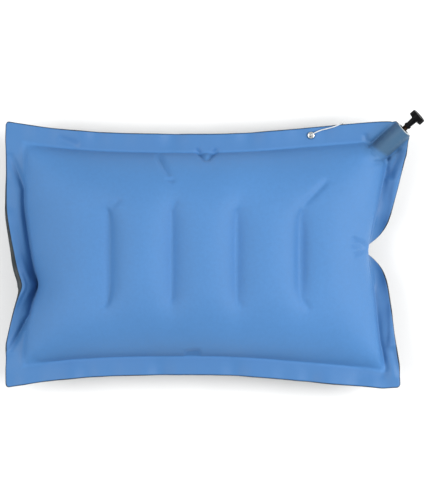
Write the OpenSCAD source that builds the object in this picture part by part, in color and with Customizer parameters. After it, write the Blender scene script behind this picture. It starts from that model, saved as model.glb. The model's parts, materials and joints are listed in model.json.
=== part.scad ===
// Inflatable camp pillow: two welded fabric panels held together by four inner baffles,
// with a screw-down air valve in one corner and an eyelet with a hanging loop on the seam.
// Millimetres, +Z up. The pillow lies on its back; the origin is the middle of the flat
// patch that it rests on, +X points to the valve end and +Y to the eyelet edge.

/* [Pillow] */
// Width of the inflated pillow from seam edge to seam edge
pillow_w = 480; // [440:5:520]
// Depth of the inflated pillow across its corners
pillow_d = 320; // [300:5:340]
// Thickness of the inflated pillow
pillow_h = 112; // [100:1:120]
// Thickness of the coated fabric
fabric_t = 0.8; // [0.6:0.1:1.2]
// Width of the flat welded seam allowance round the air chamber
seam_w = 20; // [16:1:24]
// How far the long edges bow inwards at their middle
edge_bow = 15.5; // [5:0.5:20]
// How far the valve-end edge leans in towards its buckle
right_lean = 24; // [0:1:26]
// How much further the buckle in the valve-end edge reaches in
right_buckle = 24; // [8:1:26]
// How far the buckle in the far edge reaches in
left_buckle = 14; // [5:1:30]
// How much further the upper layer of the far edge draws in beside that buckle
left_retreat = 9; // [0:1:12]

/* [Baffles] */
// Distance between neighbouring baffles
baffle_pitch = 76; // [70:1:78]
// Length of each baffle across the pillow
baffle_len = 114; // [100:2:120]
// How far a baffle holds the panels below their free height
crease_depth = 9; // [4:0.5:12]
// Thickness of the baffle film
baffle_t = 0.6; // [0.4:0.1:1]
// Width of each baffle's weld foot on either side of its web
baffle_foot = 8; // [5:1:12]

/* [Valve] */
// Direction of the valve in the seam plane, from +X towards +Y
valve_angle = 42; // [36:1:44]
// Upward tilt of the valve and of the corner that holds it
valve_tilt = 13; // [8:1:15]
// Outer diameter of the fabric sleeve round the valve
sleeve_d = 20.2; // [19.8:0.1:21]
// Length of the fabric sleeve
sleeve_len = 54; // [50:1:60]
// Outer diameter of the valve barrel
barrel_d = 18.4; // [18:0.1:18.6]
// Bore of the valve barrel
barrel_bore = 13.6; // [13.4:0.1:13.8]
// Length of the valve barrel
barrel_len = 36; // [36:1:40]
// Diameter of the threaded spindle
spindle_d = 6.5; // [6:0.1:6.6]
// Diameter of the knob's head
knob_d = 18.4; // [16:0.2:22]
// Thickness of the knob's head
knob_t = 7.6; // [6:0.2:9]
// Number of finger flutes round the knob
knob_flutes = 10; // [6:1:14]
// Travel of the spindle from fully open to shut
valve_travel = 5; // [3:0.5:5]

/* [Eyelet and hanging loop] */
// Distance of the eyelet from the middle of the pillow along X
eyelet_x = 126; // [120:1:130]
// Distance of the eyelet from the middle of the pillow along Y
eyelet_y = 143; // [141:0.5:144]
// Outer diameter of the eyelet's rolled rim
eyelet_d = 8.4; // [8:0.1:9]
// Hole through the eyelet
eyelet_hole = 4.4; // [4.2:0.1:4.6]
// Diameter of the hanging cord
cord_d = 1.3; // [1:0.1:1.4]

/* [Hidden] */

mid_z = pillow_h / 2;
half_w = pillow_w / 2;
half_d = pillow_d / 2;
chamber_x = half_w - seam_w;
chamber_y = half_d - seam_w;
// Height of each dome above the seam plane, and of the lower one before the floor flattens it
dome_h = mid_z - fabric_t;
sag_h = 1.1 * dome_h;
cell = baffle_pitch / 4;
half_rows = 6;
baffle_row = baffle_len / 2 / half_rows;
baffle_xs = [for (k = [-1.5:1:1.5]) k * baffle_pitch];
columns = concat(
    [-half_w, -chamber_x],
    [for (k = [-11:11]) k * cell],
    [chamber_x, half_w]
);
row_steps = [for (k = [-12:12]) k * baffle_row];
near_seam = chamber_y - seam_w / 2;
rows = concat([-half_d, -chamber_y, -near_seam], row_steps, [near_seam, chamber_y, half_d]);

// Places and widths of the two end buckles, and how quickly they fade inwards
right_buckle_y = 6;
right_buckle_w = 15;
lean_above = 120;
lean_below = 220;
left_buckle_y = -50;
left_buckle_w = 50;
retreat_y = -36;
retreat_w = 34;
crease_fade = 24;
buckle_fade = 5;
buckle_at_seam = 0.75;
retreat_fade = 24;

// The valve's mouth, and the line from which its corner turns up
fold_len = 46;
mouth = [236, 149.5, mid_z + fold_len * sin(valve_tilt)];

blue = "#5f98dc";
grey_back = "#4b4f52";
film = "#7fa6cf";
pale_grey = "#b9bec2";
black = "#1b1c1d";
rubber = "#26282a";
brass = "#8d6f3c";
white = "#e6e8e6";

// ---- Fabric surface ----

function bow_share(x) = let (r = abs(x) / half_w) x < 0 ? pow(r, 3) : r * r * (3 - 2 * r);
function bump(d, w) = 1 / (1 + pow(d / w, 2));
function buckle_share(r) = r < 1 ? buckle_at_seam * pow(r, buckle_fade)
    : buckle_at_seam + (1 - buckle_at_seam) * (r - 1) * chamber_x / seam_w;
function tent(d, above, below) = max(0, 1 - abs(d) / (d > 0 ? above : below));
function right_draw(y) = right_lean * tent(y - right_buckle_y, lean_above, lean_below)
    + right_buckle * bump(y - right_buckle_y, right_buckle_w);
function buckle(x, y) = buckle_share(abs(x) / chamber_x)
    * (x > 0 ? -right_draw(y) : left_buckle * bump(y - left_buckle_y, left_buckle_w));
function retreat(x, y) = x > 0 ? 0
    : left_retreat * pow(-x / half_w, retreat_fade) * bump(y - retreat_y, retreat_w);

// Plan position of a point of the flat-cut grid once the pillow is inflated
function plan(x, y, side = 0) = [
    x + buckle(x, y) + (side > 0 ? retreat(x, y) : 0),
    y - sign(y) * edge_bow * (1 - bow_share(x)) * pow(abs(y) / half_d, 3)
];
function past_fold(p) = max(0, fold_len * cos(valve_tilt)
    + (p[0] - mouth[0]) * cos(valve_angle) + (p[1] - mouth[1]) * sin(valve_angle));
// Height of the seam surface between the two panels
function seam_z(p) = mid_z + past_fold(p) * tan(valve_tilt);

function fullness(r) = r >= 1 ? 0 : pow(1 - pow(r, 2.2), 0.6);
function dome(x, y) = fullness(abs(x) / chamber_x) * fullness(abs(y) / chamber_y);
// How far the panel is held down: fully along a baffle, fading out beyond its ends
function held(x, y) = min([for (b = baffle_xs) abs(x - b)]) > 1 ? 0
    : crease_depth * min(1, max(0, 1 - (abs(y) - baffle_len / 2) / crease_fade));
function rise(x, y) = max(0, dome_h * dome(x, y) - held(x, y));
function drop(x, y) = max(0, min(dome_h, sag_h * dome(x, y)) - held(x, y));

function flat_list(lists) = [for (l = lists) for (e = l) e];

// A sheet between two height fields on the grid, closed round its rim
module sheet(upper, lower) {
    n = len(columns);
    m = len(rows);
    function at(i, j, k) = k * n * m + j * n + i;
    function two(a, b, c, d) = [[a, b, c], [a, c, d]];
    points = flat_list([for (s = [upper, lower]) flat_list(s)]);
    faces = flat_list(concat(
        [for (j = [0:m - 2]) for (i = [0:n - 2])
            two(at(i, j, 0), at(i, j + 1, 0), at(i + 1, j + 1, 0), at(i + 1, j, 0))],
        [for (j = [0:m - 2]) for (i = [0:n - 2])
            two(at(i, j, 1), at(i + 1, j, 1), at(i + 1, j + 1, 1), at(i, j + 1, 1))],
        [for (i = [0:n - 2])
            two(at(i, 0, 0), at(i + 1, 0, 0), at(i + 1, 0, 1), at(i, 0, 1))],
        [for (i = [0:n - 2])
            two(at(i + 1, m - 1, 0), at(i, m - 1, 0), at(i, m - 1, 1), at(i + 1, m - 1, 1))],
        [for (j = [0:m - 2])
            two(at(0, j + 1, 0), at(0, j, 0), at(0, j, 1), at(0, j + 1, 1))],
        [for (j = [0:m - 2])
            two(at(n - 1, j, 0), at(n - 1, j + 1, 0), at(n - 1, j + 1, 1), at(n - 1, j, 1))]
    ));
    polyhedron(points, faces);
}

function lifted(p, dz) = [p[0], p[1], seam_z(p) + dz];

// One panel (side 1 the upper, -1 the lower), or with depth a block on that side of the seam
module panel_sheet(side, depth = 0) {
    inner = [for (y = rows) [for (x = columns) let (p = plan(x, y, side))
        lifted(p, depth > 0 ? 0 : side > 0 ? rise(x, y) : -drop(x, y))]];
    t = side * (depth > 0 ? depth : fabric_t);
    outer = [for (row = inner) [for (p = row) p + [0, 0, t]]];
    if (side > 0) sheet(outer, inner); else sheet(inner, outer);
}

// The sheet with its corner cut back to the valve's mouth and wrapped over the sleeve
module cut_panel(side) {
    difference() {
        panel_sheet(side);
        valve_frame() {
            translate([0, 0, -sleeve_len - 1]) cylinder(d = sleeve_d + 0.1, h = sleeve_len + 60);
            translate([-60, -60, 0]) cube([120, 120, 80]);
        }
        eyelet_frame() cylinder(d = eyelet_hole + 1.1, h = 10, center = true);
    }
    intersection() {
        valve_frame() translate([0, 0, -sleeve_len]) difference() {
            cylinder(d = sleeve_d + 0.1 + 2 * fabric_t, h = sleeve_len);
            translate([0, 0, -1]) cylinder(d = sleeve_d + 0.1, h = sleeve_len + 2);
        }
        panel_sheet(side, 30);
    }
}

module top_panel() { color(blue) cut_panel(1); }
module bottom_panel() { color(grey_back) cut_panel(-1); }

// ---- Baffles: a web with a weld foot on each panel ----

foot_gap = 0.4;
baffle_rows = [for (k = [-half_rows:half_rows]) k * baffle_row];

// Height of the panels' inner faces beside a baffle, level with its weld line and at its feet's edges
function foot_z(x, y, dx, side) =
    let (near = side > 0 ? rise(x, y) : drop(x, y))
    let (far_x = x + sign(dx) * cell)
    let (far = side > 0 ? rise(far_x, y) : drop(far_x, y))
    mid_z + side * (near + (far - near) * abs(dx) / cell - foot_gap);

module baffle_foot(x, side) {
    n = len(baffle_rows);
    offsets = [-baffle_foot, 0, baffle_foot];
    function ring(y) = let (p = plan(x, y)) concat(
        [for (dx = offsets) [p[0] + dx, p[1], foot_z(x, y, dx, side)]],
        [for (k = [2:-1:0])
            [p[0] + offsets[k], p[1], foot_z(x, y, offsets[k], side) - side * baffle_t]]
    );
    points = flat_list([for (y = baffle_rows) ring(y)]);
    sides = flat_list([for (j = [0:n - 2]) for (k = [0:5])
        let (a = j * 6 + k, b = j * 6 + (k + 1) % 6)
        [[a, b, b + 6], [a, b + 6, a + 6]]]);
    ends = flat_list([for (s = [0, (n - 1) * 6])
        [[s, s + 5, s + 4], [s, s + 4, s + 1], [s + 1, s + 4, s + 3], [s + 1, s + 3, s + 2]]]);
    // The far end and, for the lower foot, every face turn the other way
    far = [for (i = [0:7]) i < 4 ? ends[i] : turned(ends[i])];
    polyhedron(points, side > 0 ? concat(turn_all(sides), turn_all(far)) : concat(sides, far));
}

function turned(f) = [f[2], f[1], f[0]];
function turn_all(faces) = [for (f = faces) turned(f)];

module baffle(k) {
    x = baffle_xs[k];
    top_edge = [for (y = baffle_rows) [plan(x, y)[1], foot_z(x, y, 0, 1) - baffle_t / 2]];
    low_edge = [for (i = [len(baffle_rows) - 1:-1:0]) let (y = baffle_rows[i])
        [plan(x, y)[1], foot_z(x, y, 0, -1) + baffle_t / 2]];
    color(film) union() {
        translate([x - baffle_t / 2, 0, 0]) rotate([90, 0, 90])
            linear_extrude(baffle_t) polygon(concat(top_edge, low_edge));
        baffle_foot(x, 1);
        baffle_foot(x, -1);
    }
}

// ---- Valve, drawn along its own axis: z = 0 is the mouth and +z points out of the pillow ----

barrel_out = 0.8;
gland_top = -5;
gland_len = 7;
lining_top = 0.4;
lining_t = 0.35;
seat_top = -31;
seat_len = 3;
running = 0.05;
collar_z = 5;
collar_t = 3.2;
neck_top = 18;
shank_d = 4.4;
disc_top = -20.95;
disc_t = 1.95;
washer_bottom = seat_top + valve_travel + 0.1;
round_fn = 96;

module valve_frame() { translate(mouth) rotate([0, 90 - valve_tilt, valve_angle]) children(); }

module tube(d, bore, z0, z1) {
    translate([0, 0, z0]) difference() {
        cylinder(d = d, h = z1 - z0, $fn = round_fn);
        translate([0, 0, -1]) cylinder(d = bore, h = z1 - z0 + 2, $fn = round_fn);
    }
}

module valve_sleeve() {
    color(blue) valve_frame() tube(sleeve_d, barrel_d + 0.2, -sleeve_len, 0);
}

// Soft barrel with a lip under the seat, a rounded mouth and three grooves that key it to the sleeve
module valve_barrel() {
    r = barrel_d / 2;
    b = barrel_bore / 2;
    end = barrel_out - barrel_len;
    color(pale_grey) valve_frame() difference() {
        rotate_extrude($fn = round_fn) polygon(concat(
            [[b - 2, end], [r - 0.6, end], [r, end + 0.6]],
            [for (a = [0:15:90]) [r - 0.8 + 0.8 * cos(a), barrel_out - 0.8 + 0.8 * sin(a)]],
            [for (a = [90:15:180]) [b + 0.8 + 0.8 * cos(a), barrel_out - 0.8 + 0.8 * sin(a)]],
            [[b, seat_top - seat_len], [b - 2, seat_top - seat_len]]
        ));
        for (z = [-30, -20, -10]) tube(barrel_d + 2, barrel_d - 0.8, z, z + 1.2);
    }
}

// Threaded bush with four air ports round the spindle; its thin lining reaches up to the mouth
module valve_gland() {
    d = barrel_bore - 0.1;
    bore_r = spindle_d / 2 + running;
    port_r = (d + spindle_d) / 4 + 0.5;
    color(black) valve_frame() difference() {
        rotate_extrude($fn = round_fn) polygon([
            [bore_r, gland_top - gland_len], [d / 2, gland_top - gland_len], [d / 2, lining_top],
            [d / 2 - lining_t, lining_top], [d / 2 - lining_t, gland_top], [bore_r, gland_top],
        ]);
        for (a = [45:90:315]) rotate(a) translate([port_r, 0, gland_top - gland_len - 1])
            cylinder(d = 1.8, h = gland_len + 2, $fn = 32);
    }
}

// Rubber cuff round the spindle, which the knob's collar comes down on
module neck_seal() {
    color(rubber) valve_frame() tube(9, spindle_d + 0.3, gland_top, collar_z - valve_travel - running);
}

module valve_seat() {
    color(rubber) valve_frame() tube(barrel_bore - 0.1, 6, seat_top - seat_len, seat_top);
}

// Spindle: shank in the knob, threaded length, tip pin and riveted end
module valve_spindle() {
    color(brass) valve_frame() rotate_extrude($fn = round_fn) polygon([
        [0, disc_top - disc_t - 0.85], [2.1, disc_top - disc_t - 0.85],
        [2.4, disc_top - disc_t - 0.55], [2.4, disc_top - disc_t - running],
        [1.6, disc_top - disc_t - running], [1.6, disc_top + running],
        [spindle_d / 2 - 0.5, disc_top + running], [spindle_d / 2, disc_top + 0.5],
        [spindle_d / 2, -13], [spindle_d / 2 - 0.6, -13],
        [spindle_d / 2 - 0.6, -12], [spindle_d / 2, -12],
        [spindle_d / 2, collar_z], [shank_d / 2, collar_z],
        [shank_d / 2, neck_top - 2], [0, neck_top - 2],
    ]);
}

// Split ring in the spindle's groove, which stops it against the gland when fully open
module stop_ring() {
    color(brass) valve_frame() difference() {
        tube(10, spindle_d - 1.1, -12.95, -12.1);
        translate([0, -0.8, -14]) cube([8, 1.6, 3]);
    }
}

// Moulded knob: collar, tapered neck and fluted head
module valve_knob() {
    top = neck_top + knob_t;
    r = knob_d / 2;
    flute = 1.6;
    color(black) valve_frame() difference() {
        rotate_extrude($fn = round_fn) polygon(concat(
            [[0, collar_z], [3.9, collar_z], [4.25, collar_z + 0.35]],
            [[4.25, collar_z + collar_t - 0.35], [3.9, collar_z + collar_t]],
            [[3.4, collar_z + collar_t], [4, neck_top - 1], [4.8, neck_top]],
            [for (a = [-90:22.5:0]) [r - 0.9 + 0.9 * cos(a), neck_top + 0.9 + 0.9 * sin(a)]],
            [for (a = [0:22.5:90]) [r - 1.4 + 1.4 * cos(a), top - 1.4 + 1.4 * sin(a)]],
            [[r - 3, top], [r - 3.6, top - 0.5], [0, top - 0.2]]
        ));
        for (i = [0:knob_flutes - 1]) rotate(i * 360 / knob_flutes)
            translate([r + 0.3 * flute, 0, neck_top - 1]) cylinder(r = flute, h = knob_t + 2, $fn = 32);
        translate([0, 0, collar_z - 1]) cylinder(d = shank_d + 0.04, h = neck_top - 1 - collar_z, $fn = 48);
    }
}

// Jumper disc and its rubber washer, which slide on the spindle's tip without turning
module plug_disc() {
    color(brass) valve_frame() tube(10, 3.2 + 2 * running, disc_top - disc_t, disc_top);
}

module plug_washer() {
    color(rubber) valve_frame() difference() {
        translate([0, 0, washer_bottom]) cylinder(d = 9.6, h = disc_top - disc_t - washer_bottom, $fn = round_fn);
        translate([0, 0, disc_top - disc_t - 1.3]) cylinder(d = 5.2, h = 2, $fn = 48);
    }
}

// ---- Eyelet in the seam, drawn about its own axis with z = 0 between the two panels ----

module eyelet_frame() { translate([eyelet_x, eyelet_y, mid_z]) children(); }

washer_t = 0.5;
rim_r = (eyelet_d - eyelet_hole) / 4;

// Rolled rim on the face, barrel through the seam and flare over the back washer
module eyelet() {
    a = eyelet_hole / 2;
    bead = a + rim_r;
    back = -fabric_t - washer_t;
    color(white) eyelet_frame() rotate_extrude($fn = round_fn) polygon(concat(
        [for (t = [180:-15:0]) [bead + rim_r * cos(t), fabric_t + rim_r * sin(t)]],
        [[a + 0.45, fabric_t], [a + 0.45, back], [a + 1.2, back]],
        [[a + 1.3, back - 0.25], [a + 0.6, back - 0.45], [a, back - 0.2]]
    ));
}

module eyelet_washer() {
    color(white) eyelet_frame()
        tube(eyelet_d, eyelet_hole + 1, -fabric_t - washer_t, -fabric_t);
}

// ---- Hanging loop: one cord through the eyelet, over the edge and back from below ----

cord_route = [
    [126, 143, 56.1], [126.2, 143.2, 57.4], [127.2, 143.9, 58.6], [129.2, 145.2, 59],
    [132, 146.6, 58.4], [136, 148.4, 57.8], [140.5, 149.8, 57.6], [146, 151.1, 57.6],
    [152, 152.8, 57.6], [157, 154.6, 57.8], [160.6, 156.4, 57.9], [163.2, 157.9, 57],
    [164.5, 158.7, 54.6], [164.9, 158.9, 51], [165, 158.8, 44], [165, 158.5, 36],
    [165, 158, 28], [164.9, 157.2, 20], [164.6, 156, 12.5], [164.1, 154, 6.2],
    [163.2, 150.8, 2.2], [161.6, 146.4, 0.8], [158.8, 141, 0.7], [154.6, 136, 0.7],
    [149, 132.2, 0.7], [142.6, 130.4, 0.7], [136, 130.6, 0.7], [130.6, 133, 0.9],
    [127.4, 136.8, 2.8], [126.2, 140, 7], [126, 142, 13], [126, 142.8, 21],
    [126, 143, 29], [126, 143, 38], [126, 143, 47], [126, 143, 55.9],
];
cord_steps = 2;
cord_sides = 8;
knot_at = 24;

function unit(v) = v / norm(v);
function clamped(list, i) = list[max(0, min(len(list) - 1, i))];
// A point on the smooth curve through four points in a row, between the second and the third
function between(a, b, c, d, t) =
    (2 * b + (c - a) * t + (2 * a - 5 * b + 4 * c - d) * t * t
        + (3 * b - a - 3 * c + d) * t * t * t) / 2;
cord_line = concat(
    [for (i = [0:len(cord_route) - 2]) for (s = [0:cord_steps - 1])
        between(clamped(cord_route, i - 1), cord_route[i], cord_route[i + 1],
            clamped(cord_route, i + 2), s / cord_steps)],
    [cord_route[len(cord_route) - 1]]
);

// A round tube swept along a line, its rings carried on without twist
module swept_tube(line, r, sides) {
    n = len(line);
    ways = [for (i = [0:n - 1]) unit(clamped(line, i + 1) - clamped(line, i - 1))];
    normals = [for (i = 0, v = unit(cross(ways[0], [0, 1, 0])); i < n;
        i = i + 1, v = unit(v - ways[min(i, n - 1)] * (v * ways[min(i, n - 1)]))) v];
    points = [for (i = [0:n - 1]) for (k = [0:sides - 1])
        let (a = 360 * k / sides)
        line[i] + r * (cos(a) * normals[i] + sin(a) * cross(ways[i], normals[i]))];
    walls = flat_list([for (i = [0:n - 2]) for (k = [0:sides - 1])
        let (a = i * sides + k, b = i * sides + (k + 1) % sides)
        [[a, b + sides, b], [a, a + sides, b + sides]]]);
    caps = [[for (k = [0:sides - 1]) k], [for (k = [sides - 1:-1:0]) (n - 1) * sides + k]];
    polyhedron(points, concat(walls, caps));
}

module hang_cord() { color(white) swept_tube(cord_line, cord_d / 2, cord_sides); }

// Overhand knot that closes the loop
module cord_knot() {
    color(white) translate([cord_route[knot_at][0], cord_route[knot_at][1], 1.7])
        sphere(r = 1.7, $fn = 32);
}

top_panel();
bottom_panel();
baffle(0);  // baffle_1
baffle(1);  // baffle_2
baffle(2);  // baffle_3
baffle(3);  // baffle_4
valve_sleeve();
valve_barrel();
valve_gland();
neck_seal();
valve_seat();
valve_spindle();
valve_knob();
stop_ring();
plug_disc();
plug_washer();
eyelet();
eyelet_washer();
hang_cord();
cord_knot();
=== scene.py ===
"""Inflatable camp pillow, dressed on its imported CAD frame.

Both fabric panels are inflated from their flat cut by a small cloth simulation: they are welded
round the rim, held together by four film ties, pressed on by air from inside and stopped by the
floor and by the valve's sleeve. Creases are then pressed into the inflated shape. The fittings
keep their CAD shape and get detailed finishes. All lengths are in metres.
"""

import json
import math

import bmesh
import bpy
import numpy as np
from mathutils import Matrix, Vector


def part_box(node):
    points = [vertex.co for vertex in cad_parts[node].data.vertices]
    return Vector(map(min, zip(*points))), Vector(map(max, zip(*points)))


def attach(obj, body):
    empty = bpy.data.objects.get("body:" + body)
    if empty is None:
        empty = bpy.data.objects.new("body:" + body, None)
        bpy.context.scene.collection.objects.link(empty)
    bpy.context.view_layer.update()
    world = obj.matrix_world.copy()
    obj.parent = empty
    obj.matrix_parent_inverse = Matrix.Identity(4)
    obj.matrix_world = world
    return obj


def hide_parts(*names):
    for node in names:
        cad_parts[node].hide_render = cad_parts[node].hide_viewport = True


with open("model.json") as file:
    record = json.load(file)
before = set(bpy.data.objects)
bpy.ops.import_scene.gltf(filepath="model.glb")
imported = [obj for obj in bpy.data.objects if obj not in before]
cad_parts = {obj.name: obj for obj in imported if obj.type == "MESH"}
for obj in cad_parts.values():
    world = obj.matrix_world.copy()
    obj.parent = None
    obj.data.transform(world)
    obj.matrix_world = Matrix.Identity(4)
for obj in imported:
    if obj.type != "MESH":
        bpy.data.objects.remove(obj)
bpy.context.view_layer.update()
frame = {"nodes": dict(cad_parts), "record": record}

# ---- Sizes of the frame's pillow and valve ---------------------------------

HALF_W, HALF_D = 0.240, 0.160            # half of the inflated size across the rim
SEAM_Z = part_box("top_panel")[1].z / 2    # height of the weld
FABRIC = 0.0008                          # thickness of the cloth

MOUNTS = {m["name"]: m for m in frame["record"]["mounts"]}
MOUTH = np.array(MOUNTS["valve_mouth"]["pos_m"])
VALVE_AXIS = np.array(MOUNTS["valve_mouth"]["axis"])
VALVE_AXIS /= np.linalg.norm(VALVE_AXIS)
SLEEVE_R = 0.0101
SLEEVE_LEN = 0.054
SLEEVE_MARGIN = 0.002                    # the cloth keeps clear this far past its inner end
FOLD_LEN = 0.046                         # the corner turns up from a line this far in

EYELET = np.mean([np.array(corner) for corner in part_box("eyelet")], axis=0)[:2]

# ---- Camera: straight above, the pillow's width across the frame ----------

CAMERA_HEIGHT = 2.4
PICTURE_HEIGHT = 0.6
PICTURE_MIDDLE = (0.009, 0.0054)

camera_data = bpy.data.cameras.new("camera")
camera = bpy.data.objects.new("camera", camera_data)
bpy.context.collection.objects.link(camera)
camera.location = (*PICTURE_MIDDLE, SEAM_Z + CAMERA_HEIGHT)
camera_data.sensor_fit = "VERTICAL"
camera_data.sensor_height = 24
camera_data.lens = camera_data.sensor_height * CAMERA_HEIGHT / PICTURE_HEIGHT
bpy.context.scene.camera = camera


# ---- Small helpers ----------------------------------------------------------

def new_object(name, data):
    obj = bpy.data.objects.new(name, data)
    bpy.context.collection.objects.link(obj)
    return obj


def smooth(mesh):
    mesh.polygons.foreach_set("use_smooth", [True] * len(mesh.polygons))
    return mesh


def unit(v):
    return v / np.linalg.norm(v, axis=-1, keepdims=True)


def bump_shape(distance, width):
    return 1 / (1 + (distance / width) ** 2)


# ---- Hanging loop: a twisted cotton cord through the eyelet ----------------

CORD_D = 0.0013
CORD_STEP = 0.0004                       # between the rings of its mesh
ROUTE_STEPS = 8                          # points of the curve for each one of the route
CORD_ROUTE_MM = [
    (126, 143, 56.1), (126.2, 143.2, 57.4), (127.2, 143.9, 58.6), (129.2, 145.2, 59),
    (132, 146.6, 58.4), (136, 148.4, 57.8), (140.5, 149.8, 57.6), (146, 151.1, 57.6),
    (152, 152.8, 57.6), (157, 154.6, 57.8), (160.6, 156.4, 57.9), (163.2, 157.9, 57),
    (164.5, 158.7, 54.6), (164.9, 158.9, 51), (165, 158.8, 44), (165, 158.5, 36),
    (165, 158, 28), (164.9, 157.2, 20), (164.6, 156, 12.5), (164.1, 154, 6.2),
    (163.2, 150.8, 2.2), (161.6, 146.4, 0.8), (158.8, 141, 0.7), (154.6, 136, 0.7),
    (149, 132.2, 0.7), (142.6, 130.4, 0.7), (136, 130.6, 0.7), (130.6, 133, 0.9),
    (127.4, 136.8, 2.8), (126.2, 140, 7), (126, 142, 13), (126, 142.8, 21),
    (126, 143, 29), (126, 143, 38), (126, 143, 47), (126, 143, 55.9),
]
KNOT_AT = 24                             # place of the knot among the route's points
KNOT_HEIGHT = 0.0019
KNOT_R = 0.0013
KNOT_FLAT = 0.9                          # its height as a share of its natural height
KNOT_CORD_D = 0.00115                    # the cord is pulled thinner in the knot
KNOT_STEP = 0.0003
TREFOIL_REACH = 3
STRANDS = 3
STRAND_LOW, STRAND_HIGH = 0.9, 0.12      # share of the radius between strands, and a strand's rise
TWIST_PITCH = 0.0042


def smooth_route(points, steps):
    """Catmull-Rom curve through the points."""
    p = np.array(points, float)
    p = np.concatenate([p[:1], p, p[-1:]])
    t = (np.arange(steps) / steps)[:, None]
    line = [
        (2 * b + (c - a) * t + (2 * a - 5 * b + 4 * c - d) * t**2
         + (3 * b - a - 3 * c + d) * t**3) / 2
        for a, b, c, d in zip(p, p[1:], p[2:], p[3:])
    ]
    return np.concatenate([*line, p[-1:]])


def respaced(line, gap):
    """The same line with points gap apart along it."""
    s = np.concatenate([[0], np.cumsum(np.linalg.norm(np.diff(line, axis=0), axis=1))])
    want = np.linspace(0, s[-1], max(2, round(s[-1] / gap) + 1))
    return np.stack([np.interp(want, s, line[:, k]) for k in range(3)], 1), s[-1]


def carried_frames(line):
    """Two normals at each point of a line, carried along it without twist."""
    ways = unit(np.gradient(line, axis=0))
    first = unit(np.cross(ways[0], [0.0, 1.0, 0.0]))
    normals = [first]
    for way in ways[1:]:
        normals.append(unit(normals[-1] - way * (normals[-1] @ way)))
    normals = np.array(normals)
    return normals, np.cross(ways, normals)


def twisted_tube(name, line, diameter, pitch, around=18):
    """A cord of three strands laid round each other, as one closed mesh along the line."""
    normals, across = carried_frames(line)
    s = np.concatenate([[0], np.cumsum(np.linalg.norm(np.diff(line, axis=0), axis=1))])
    angle = np.linspace(0, 2 * np.pi, around, endpoint=False)[None, :]
    lay = 2 * np.pi * s[:, None] / pitch
    strand = np.abs(np.cos(STRANDS / 2 * (angle - lay)))
    radius = diameter / 2 * (STRAND_LOW + STRAND_HIGH * strand)
    rings = (
        line[:, None]
        + (radius * np.cos(angle))[..., None] * normals[:, None]
        + (radius * np.sin(angle))[..., None] * across[:, None]
    )
    n = len(line)
    faces = [
        (i * around + k, i * around + (k + 1) % around,
         (i + 1) * around + (k + 1) % around, (i + 1) * around + k)
        for i in range(n - 1) for k in range(around)
    ]
    faces += [tuple(range(around))[::-1], tuple((n - 1) * around + k for k in range(around))]
    mesh = bpy.data.meshes.new(name)
    mesh.from_pydata(rings.reshape(-1, 3).tolist(), [], faces)
    mesh.validate()
    return new_object(name, smooth(mesh))


def overhand_knot(name, centre, radius, thickness):
    """A trefoil of the same cord, pulled tight."""
    t = np.linspace(0, 2 * np.pi, 90, endpoint=False)
    loop = np.stack([
        np.sin(t) + 2 * np.sin(2 * t),
        np.cos(t) - 2 * np.cos(2 * t),
        -np.sin(3 * t),
    ], 1)
    loop *= radius / TREFOIL_REACH
    loop[:, 2] *= KNOT_FLAT
    loop += centre
    line, _ = respaced(np.concatenate([loop, loop[:2]]), KNOT_STEP)
    return twisted_tube(name, line, thickness, TWIST_PITCH, around=12)


cord_line, cord_length = respaced(smooth_route(CORD_ROUTE_MM, ROUTE_STEPS) / 1000, CORD_STEP)
hang_cord = twisted_tube("hang_cord_twist", cord_line, CORD_D, TWIST_PITCH)
knot_place = np.array(CORD_ROUTE_MM[KNOT_AT]) / 1000
knot_place[2] = KNOT_HEIGHT
cord_knot = overhand_knot("cord_knot_tied", knot_place, KNOT_R, KNOT_CORD_D)
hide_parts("hang_cord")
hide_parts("cord_knot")
for piece in (hang_cord, cord_knot):
    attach(piece, "pillow")


# ---- The pillow's cut and the shape its rim is held to --------------------

FLAT_HALF = np.array([0.2460, 0.1580])   # middle of the flat cut to its rim
CELLS = np.array([63, 43])               # coarse cells over that length
SEAM = 0.0215                            # width of the welded rim
WELD_SHRINK = (0.028, 0.02)              # how much welding shortens the rim
TIE_FLAT = (-0.1158, -0.0386, 0.0386, 0.1158)     # where the ties are on the flat cut
TIE_PLACES = (-0.1126, -0.0400, 0.0362, 0.1118)   # where they are on the inflated pillow
TIE_HALF = 0.050                         # half of a tie's width across the pillow
TIE_LENGTH = 0.084                       # how far apart it lets the panels come

EDGE_BOW = 0.0155                        # how far in the long edges bow
# Each edge: its depth, the Y of its deepest point, and how far its arms reach above and below
RIGHT_LEAN = {"depth": 0.028, "y": 0.006, "above": 0.130, "below": 0.260, "flare": 0.004}
RIGHT_NOTCH = {"depth": 0.024, "width": 0.015, "tuck": 0.023, "tuck_width": 0.024}
RIM_LIFT = {"right": -0.002, "left": -0.004}
LEFT_FOLD = {"depth": 0.019, "y": -0.037, "above": 0.088, "below": 0.066, "power": 1.3}
LEFT_SEAM = {"x": -0.222, "lean": 0.011, "above": 0.110, "below": 0.075,
             "point": 0.010, "width": 0.009, "dip": 0.016}
RIGHT_SEAM = {"reach": 0.0170, "tuck": 0.78, "tucked": 0.022, "dip": 0.006,
              "y": (-0.146, 0.118), "fade": 0.012}
SOUTH_EAST = {"y": -0.100, "over": 0.045, "reach": 0.006}   # the chamber's corner runs to a point
CORNER_WELD = 0.038                      # the weld crosses the valve's corner this far in
CORNER_SHARE = (2 / 9, 5 / 18)           # share of the columns and rows that the sleeve lies in
EDGE_POINTS = 1601                       # points that an edge is drawn with


def tent(y, middle, above, below, tip=0.006):
    """1 at the middle, falling straight to 0 along both arms, with a rounded tip."""
    d = y - middle
    arm = np.where(d > 0, above, below)
    return np.clip(1 - (np.hypot(d, tip) - tip) / arm, 0, 1)


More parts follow.
